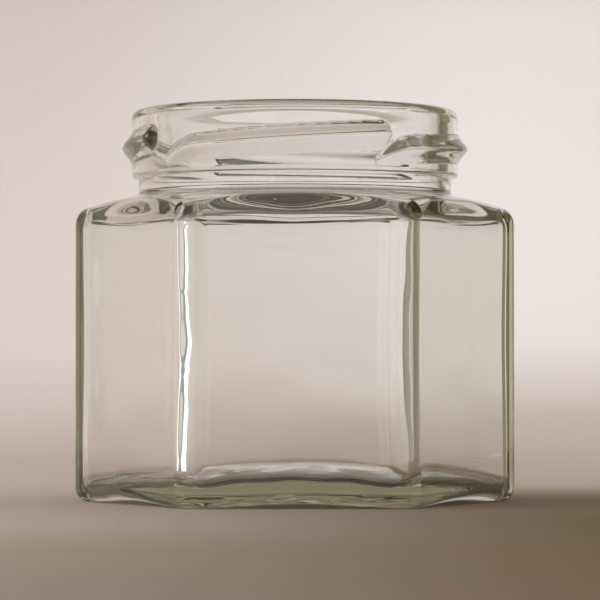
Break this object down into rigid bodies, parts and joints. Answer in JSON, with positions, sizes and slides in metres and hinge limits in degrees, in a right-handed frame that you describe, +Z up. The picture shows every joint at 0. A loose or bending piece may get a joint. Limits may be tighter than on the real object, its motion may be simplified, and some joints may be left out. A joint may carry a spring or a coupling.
{
  "type": "hexagonal glass jar",
  "caption": "Small hexagonal jar of clear glass with rounded corners and shoulders, a round twist-off neck with lugs, and a wide mouth, empty and without a lid.",
  "frame": {"origin": "centre of the base, on the surface that the jar stands on", "axes": "+Z up through the mouth; two flat faces look towards +Y and -Y, and two upright corners lie on the X axis"},
  "size_m": [0.0676, 0.0596, 0.06],
  "materials": {
    "glass": "gloss"
  },
  "bodies": {
    "root": {"jar": "glass"}
  },
  "joints": []
}
